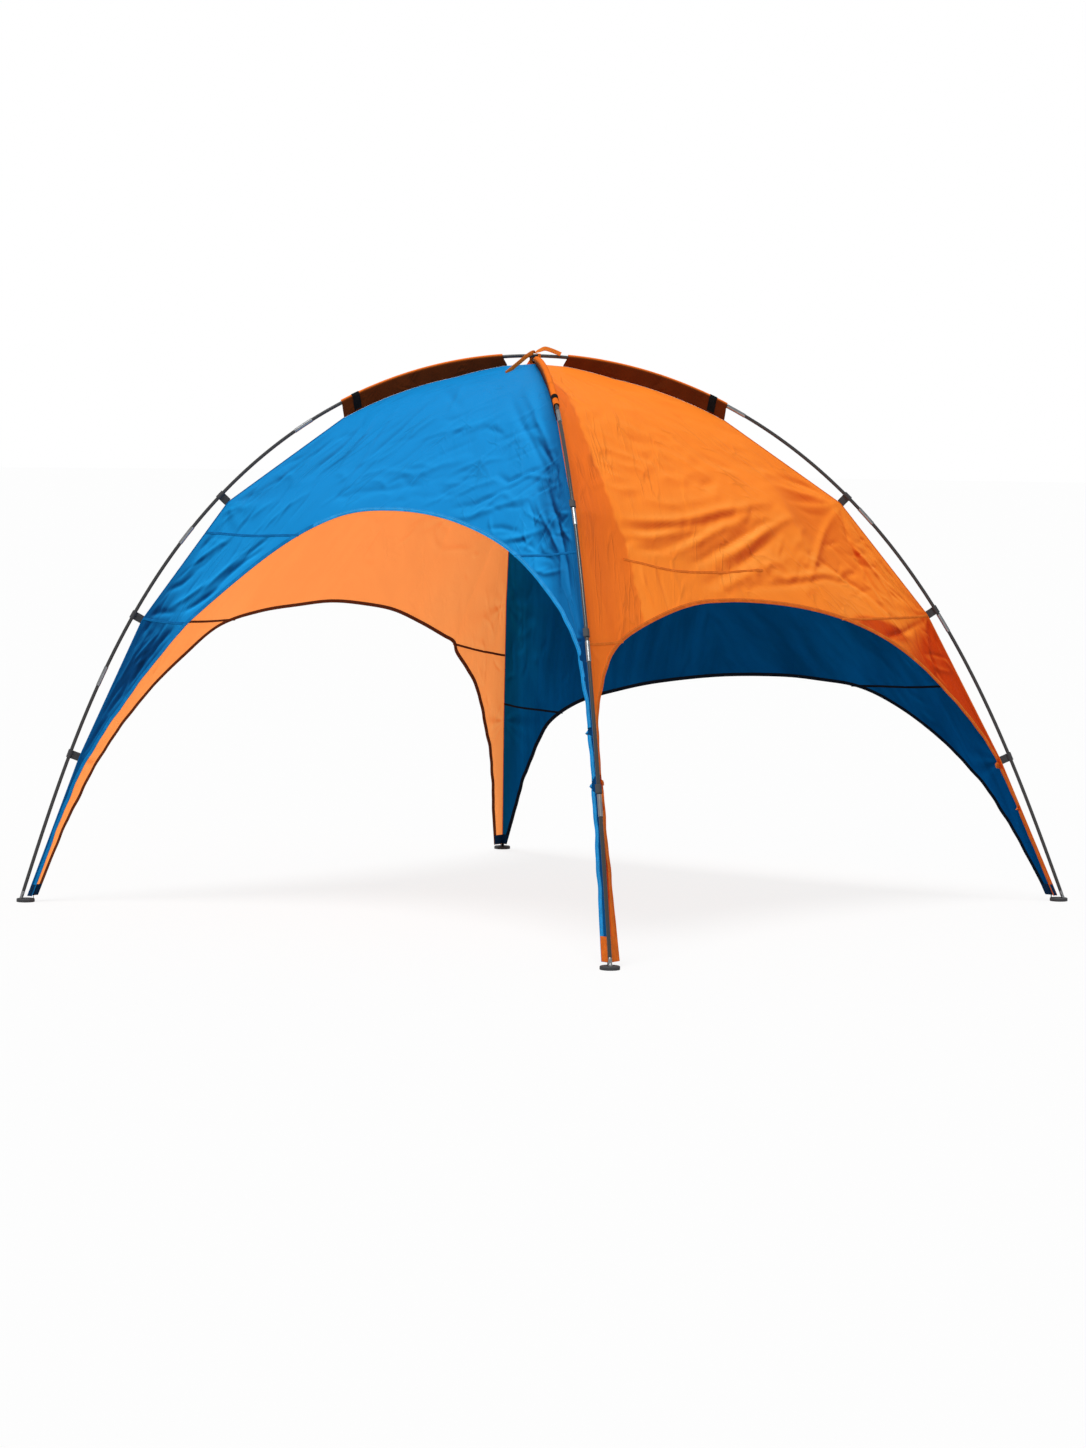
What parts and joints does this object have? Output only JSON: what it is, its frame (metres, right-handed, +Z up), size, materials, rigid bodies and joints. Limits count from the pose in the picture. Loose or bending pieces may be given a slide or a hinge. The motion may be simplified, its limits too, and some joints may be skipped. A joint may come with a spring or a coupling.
{
  "type": "beach tent",
  "caption": "Square beach shelter: a blue and orange canopy with arched open sides hangs by hook clips and sleeves under crossed, shock-corded poles on round feet.",
  "frame": {"origin": "on the ground at the middle of the square base", "axes": "+Z up, -Y out through the highest arch, the base's sides parallel to X and Y"},
  "size_m": [2.766, 2.766, 2.0301],
  "materials": {
    "pole_black": "black pultruded fibreglass, satin, with bright steel ferrules",
    "tip_metal": "turned metal",
    "cord_black": "braided elastic cord",
    "webbing_black": "woven webbing",
    "foot_black": "moulded black plastic",
    "clip_black": "moulded black plastic",
    "cloth_blue": "thin coated polyester, blue outside and dark navy where it is in shade inside",
    "cloth_orange": "thin coated polyester, orange",
    "tape_orange": "woven tape"
  },
  "bodies": {
    "tent": {"apex_tie": "tape_orange", "canopy_front": "cloth_blue", "canopy_left": "cloth_orange", "canopy_rear": "cloth_blue", "canopy_right": "cloth_orange", "pole_a_section_1": "pole_black", "pole_a_section_2": "pole_black", "pole_a_section_3": "pole_black", "pole_a_section_4": "pole_black", "pole_a_section_5": "pole_black", "pole_a_section_6": "pole_black", "pole_a_section_7": "pole_black", "pole_a_section_8": "pole_black", "pole_a_section_9": "pole_black", "pole_b_section_1": "pole_black", "pole_b_section_10": "pole_black", "pole_b_section_11": "pole_black", "pole_b_section_2": "pole_black", "pole_b_section_3": "pole_black", "pole_b_section_4": "pole_black", "pole_b_section_5": "pole_black", "pole_b_section_6": "pole_black", "pole_b_section_7": "pole_black", "pole_b_section_8": "pole_black", "pole_b_section_9": "pole_black", "pole_tip_front": "tip_metal", "pole_tip_left": "tip_metal", "pole_tip_rear": "tip_metal", "pole_tip_right": "tip_metal", "shock_cord_a": "cord_black", "shock_cord_b": "cord_black", "sleeve_band_front": "webbing_black", "sleeve_band_left": "webbing_black", "sleeve_band_rear": "webbing_black", "sleeve_band_right": "webbing_black", "sleeve_front": "cloth_orange", "sleeve_left": "cloth_orange", "sleeve_rear": "cloth_orange", "sleeve_right": "cloth_orange"},
    "foot_left": {"foot_left": "foot_black", "foot_tab_left": "webbing_black"},
    "clip_left_1": {"clip_left_1": "clip_black"},
    "clip_left_2": {"clip_left_2": "clip_black"},
    "clip_left_3": {"clip_left_3": "clip_black"},
    "foot_right": {"foot_right": "foot_black", "foot_tab_right": "webbing_black"},
    "clip_right_1": {"clip_right_1": "clip_black"},
    "clip_right_2": {"clip_right_2": "clip_black"},
    "clip_right_3": {"clip_right_3": "clip_black"},
    "foot_front": {"foot_front": "foot_black", "foot_tab_front": "webbing_black"},
    "clip_front_1": {"clip_front_1": "clip_black"},
    "clip_front_2": {"clip_front_2": "clip_black"},
    "clip_front_3": {"clip_front_3": "clip_black"},
    "foot_rear": {"foot_rear": "foot_black", "foot_tab_rear": "webbing_black"},
    "clip_rear_1": {"clip_rear_1": "clip_black"},
    "clip_rear_2": {"clip_rear_2": "clip_black"},
    "clip_rear_3": {"clip_rear_3": "clip_black"}
  },
  "joints": [
    {"name": "foot_left_tilt", "type": "hinge", "parent": "tent", "child": "foot_left", "pos_m": [-1.36131, -1.36131, 0.0125], "axis": [0.7071, -0.7071, 0], "range_deg": [-8, 8]},
    {"name": "foot_right_tilt", "type": "hinge", "parent": "tent", "child": "foot_right", "pos_m": [1.36131, 1.36131, 0.0125], "axis": [-0.7071, 0.7071, 0], "range_deg": [-8, 8]},
    {"name": "foot_front_tilt", "type": "hinge", "parent": "tent", "child": "foot_front", "pos_m": [1.36131, -1.36131, 0.0125], "axis": [0.7071, 0.7071, 0], "range_deg": [-8, 8]},
    {"name": "foot_rear_tilt", "type": "hinge", "parent": "tent", "child": "foot_rear", "pos_m": [-1.36131, 1.36131, 0.0125], "axis": [-0.7071, -0.7071, 0], "range_deg": [-8, 8]},
    {"name": "clip_left_1_swing", "type": "hinge", "parent": "tent", "child": "clip_left_1", "pos_m": [-0.83862, -0.83862, 1.45548], "axis": [0.4822, 0.4822, 0.7314], "range_deg": [0, 75]},
    {"name": "clip_left_2_swing", "type": "hinge", "parent": "tent", "child": "clip_left_2", "pos_m": [-1.05594, -1.05594, 1.02705], "axis": [0.3444, 0.3444, 0.8734], "range_deg": [0, 75]},
    {"name": "clip_left_3_swing", "type": "hinge", "parent": "tent", "child": "clip_left_3", "pos_m": [-1.21523, -1.21523, 0.52681], "axis": [0.2455, 0.2455, 0.9378], "range_deg": [0, 75]},
    {"name": "clip_right_1_swing", "type": "hinge", "parent": "tent", "child": "clip_right_1", "pos_m": [0.75148, 0.75148, 1.47198], "axis": [0.5072, 0.5072, -0.6968], "range_deg": [0, 75]},
    {"name": "clip_right_2_swing", "type": "hinge", "parent": "tent", "child": "clip_right_2", "pos_m": [0.98663, 0.98663, 1.0631], "axis": [0.3862, 0.3862, -0.8377], "range_deg": [0, 75]},
    {"name": "clip_right_3_swing", "type": "hinge", "parent": "tent", "child": "clip_right_3", "pos_m": [1.18895, 1.18895, 0.52435], "axis": [0.2863, 0.2863, -0.9144], "range_deg": [0, 75]},
    {"name": "clip_front_1_swing", "type": "hinge", "parent": "tent", "child": "clip_front_1", "pos_m": [0.75991, -0.8341, 1.44875], "axis": [-0.513, 0.476, 0.7143], "range_deg": [0, 75]},
    {"name": "clip_front_2_swing", "type": "hinge", "parent": "tent", "child": "clip_front_2", "pos_m": [0.99367, -1.04663, 1.03771], "axis": [-0.3899, 0.3459, 0.8534], "range_deg": [0, 75]},
    {"name": "clip_front_3_swing", "type": "hinge", "parent": "tent", "child": "clip_front_3", "pos_m": [1.17924, -1.20696, 0.5489], "axis": [-0.2965, 0.2489, 0.922], "range_deg": [0, 75]},
    {"name": "clip_rear_1_swing", "type": "hinge", "parent": "tent", "child": "clip_rear_1", "pos_m": [-0.8341, 0.75991, 1.44875], "axis": [-0.476, 0.513, -0.7143], "range_deg": [0, 75]},
    {"name": "clip_rear_2_swing", "type": "hinge", "parent": "tent", "child": "clip_rear_2", "pos_m": [-1.04663, 0.99367, 1.03771], "axis": [-0.3459, 0.3899, -0.8534], "range_deg": [0, 75]},
    {"name": "clip_rear_3_swing", "type": "hinge", "parent": "tent", "child": "clip_rear_3", "pos_m": [-1.20696, 1.17924, 0.5489], "axis": [-0.2489, 0.2965, -0.922], "range_deg": [0, 75]}
  ]
}
